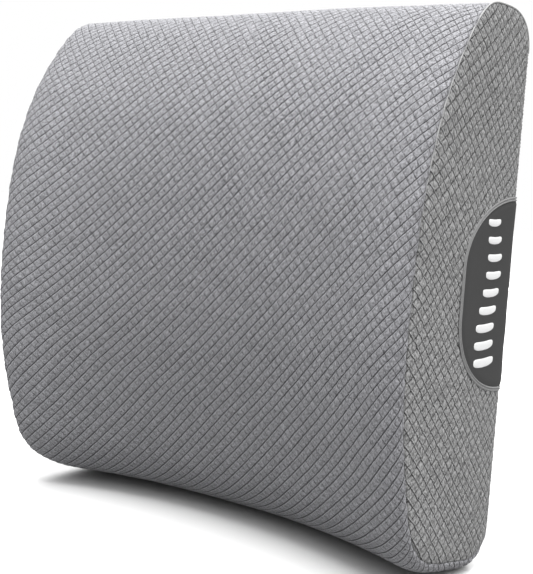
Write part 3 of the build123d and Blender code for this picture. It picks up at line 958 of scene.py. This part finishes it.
def raised_pad(name, x_range, z_range, base, height, radius, body):
    """A low pad with a rounded outline and a soft edge, facing +Y."""
    turn = np.linspace(0, 2 * pi, 64, endpoint=False)
    middle = np.array([sum(x_range) / 2, sum(z_range) / 2])
    half = np.array([x_range[1] - x_range[0], z_range[1] - z_range[0]]) / 2
    corner = np.sign(np.stack([np.cos(turn), np.sin(turn)], 1)) * (half - radius)
    rim = corner + radius * np.stack([np.cos(turn), np.sin(turn)], 1)
    rings = []
    for inset, lift in ((0.0, -0.15), (0.0, 0.45), (0.12, 0.8), (0.35, 1.0)):
        flat = middle + rim * (1 - inset / half.min())
        rings.append(np.stack([flat[:, 0], np.full(len(flat), base + height * lift), flat[:, 1]], 1))
    points = np.concatenate(rings)
    piece = mesh_object(name, points, mound_faces(len(rings), len(turn)), points[:, [0, 2]])
    finish_piece(piece, body, "buckle_plastic", buckle_plastic)


def buckle_details():
    """The thumb pad on the female half and three grip ribs on the male half."""
    low, high = (np.array(corner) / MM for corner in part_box("buckle_female"))
    middle = (low[2] + high[2]) / 2
    face_x = (low[0] + 6, high[0] - 12)
    raised_pad("buckle_face", face_x, (middle - 11, middle + 11), high[1], 0.9, 4, "cushion")
    male_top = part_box("buckle_male")[1][1] / MM
    for k in range(3):
        grip_x = low[0] - 6.2 + 1.9 * k
        raised_pad(
            f"buckle_grip_{k}", (grip_x, grip_x + 1.1), (middle - 17, middle + 17), male_top, 0.7, 0.5,
            "buckle_male")


def flexing_prongs():
    """The buckle's two prongs, copied from the CAD part onto the male half. The real prongs are pressed
    together while the buckle is drawn out.
    """
    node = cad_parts["buckle_prongs"]
    piece = bpy.data.objects.new("buckle_spring_arms", node.data.copy())
    piece.data.materials.clear()
    bpy.context.scene.collection.objects.link(piece)
    finish_piece(piece, "buckle_male", "buckle_plastic", buckle_plastic, "buckle_prongs")
    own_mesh(piece)


def paint(node, material):
    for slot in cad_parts[node].material_slots:
        slot.material = material


def hardware():
    """CAD nodes that keep their shape get their finish here."""
    for name in ("buckle_female", "buckle_male"):
        paint(name, buckle_plastic)
    for name in ("zip_slider", "zip_pull", "zip_stops"):
        paint(name, zip_metal)


front_panel()
inner_body("foam_block", 4.5, "foam", foam, "foam_core")
inner_body("liner_sock", 3.2, "liner_cloth", liner, "inner_liner")
side_gusset(1, "gusset_right_knit", "side_gusset_right")
side_gusset(-1, "gusset_left_knit", "side_gusset_left")
back_panel("back_mesh_upper", "back_panel_upper", (ZIP_HIGH, SEAM[-1][1]), 21)
back_panel("back_mesh_lower", "back_panel_lower", (SEAM[0][1], ZIP_LOW), 22)
zip_tape("tape_upper", "zip_tape_upper", tape_low[2] / MM, tape_high[2] / MM)
zip_tape("tape_lower", "zip_tape_lower", lower_tape_low[2] / MM, lower_tape_high[2] / MM)
zip_coil("coil_upper", "zip_coil_upper", 1)
zip_coil("coil_lower", "zip_coil_lower", -1)
side_label()
label_emblem()
seam_bead(1, "seam_right")
seam_bead(-1, "seam_left")
straps()
flexing_prongs()
buckle_details()
topstitching()
care_label()
hardware()


# ---- camera, light and stage ----
SKY_HORIZON = 0.46  # strength of the light from the horizon and from straight above
SKY_TOP = 3.9
SKY_LEFT = 0.4  # share of it that comes from the left and from the right
SKY_RIGHT = 1.05
CAMERA_PLACE = Vector((407.8, -592.9, 229.2)) * MM
CAMERA_YAW = 35.96
CAMERA_PITCH = 5.88
CAMERA_ROLL = 3.63
CAMERA_LENS = 64.7373  # mm, on a sensor whose long side is 36 mm


def camera():
    """The photograph's viewpoint, found by fitting a camera to the cushion's edges."""
    yaw, pitch, roll = (radians(a) for a in (CAMERA_YAW, CAMERA_PITCH, CAMERA_ROLL))
    forward = Vector((-sin(yaw) * cos(pitch), cos(yaw) * cos(pitch), -sin(pitch)))
    level = Vector((cos(yaw), sin(yaw), 0))
    upright = level.cross(forward)
    right = cos(roll) * level + sin(roll) * upright
    up = -sin(roll) * level + cos(roll) * upright
    data = bpy.data.cameras.new("camera")
    data.sensor_fit = "AUTO"
    data.sensor_width = 36.0
    data.lens = CAMERA_LENS
    data.clip_start = 0.01
    item = bpy.data.objects.new("camera", data)
    turned = Matrix((right, up, -forward)).transposed().to_4x4()
    item.matrix_world = Matrix.Translation(CAMERA_PLACE) @ turned
    bpy.context.scene.collection.objects.link(item)
    bpy.context.scene.camera = item


def area_light(name, place, target, size, power):
    data = bpy.data.lights.new(name, "AREA")
    data.shape = "RECTANGLE"
    data.size, data.size_y = size
    data.energy = power
    item = bpy.data.objects.new(name, data)
    item.location = place
    item.rotation_euler = (Vector(target) - Vector(place)).to_track_quat("-Z", "Y").to_euler()
    bpy.context.scene.collection.objects.link(item)


def stage():
    """A flat pale floor. The camera sees it paler than the light does, so that it meets the white sky."""
    n = Nodes("backdrop")
    tone = n.noise(n.place(), 3, 2.0)
    seen = n.add("LightPath").outputs["Is Camera Ray"]
    pale = n.mix(tone, grey(0.70), grey(0.72))
    material = n.finish(n.mix(seen, grey(0.38), pale), 0.9)
    size = 6.0
    mesh = bpy.data.meshes.new("floor")
    corners = [(-size, -size, 0), (size, -size, 0), (size, size, 0), (-size, size, 0)]
    mesh.from_pydata(corners, [], [(0, 1, 2, 3)])
    floor = bpy.data.objects.new("floor", mesh)
    mesh.materials.append(material)
    bpy.context.scene.collection.objects.link(floor)


def sky():
    """A soft studio: bright overhead, dimmer at the sides, and plain white where the camera sees it."""
    world = bpy.data.worlds.new("world")
    world.use_nodes = True
    tree = world.node_tree
    direction = tree.nodes.new("ShaderNodeTexCoord")
    parts = tree.nodes.new("ShaderNodeSeparateXYZ")
    strength = tree.nodes.new("ShaderNodeMapRange")
    strength.interpolation_type = "SMOOTHSTEP"
    for key, value in (("From Min", 0.2), ("From Max", 1.0), ("To Min", SKY_HORIZON), ("To Max", SKY_TOP)):
        strength.inputs[key].default_value = value
    seen = tree.nodes.new("ShaderNodeLightPath")
    shown = tree.nodes.new("ShaderNodeMix")
    tree.links.new(direction.outputs["Generated"], parts.inputs[0])
    tree.links.new(parts.outputs[2], strength.inputs["Value"])
    # the left side of the room is much darker than the right
    slant = tree.nodes.new("ShaderNodeMapRange")
    for key, value in (("From Min", -1.0), ("From Max", 1.0), ("To Min", SKY_LEFT), ("To Max", SKY_RIGHT)):
        slant.inputs[key].default_value = value
    both = tree.nodes.new("ShaderNodeMath")
    both.operation = "MULTIPLY"
    tree.links.new(parts.outputs[0], slant.inputs["Value"])
    tree.links.new(strength.outputs[0], both.inputs[0])
    tree.links.new(slant.outputs[0], both.inputs[1])
    tree.links.new(seen.outputs["Is Camera Ray"], shown.inputs[0])
    tree.links.new(both.outputs[0], shown.inputs[2])
    shown.inputs[3].default_value = 1.0
    tree.links.new(shown.outputs[0], tree.nodes["Background"].inputs["Strength"])
    tree.nodes["Background"].inputs["Color"].default_value = (1, 1, 1, 1)
    bpy.context.scene.world = world


camera()
area_light("top_light", (0.1, -0.4, 1.25), (0, -0.05, 0.2), (0.8, 0.6), 17)
area_light("side_fill", (1.9, -0.2, 0.9), (0.1, 0, 0.15), (1.2, 1.2), 1.5)
area_light("back_fill", (-0.7, 1.5, 1.1), (0, 0, 0.2), (1.0, 1.0), 22)
stage()
sky()
bpy.context.scene.view_settings.view_transform = "Standard"
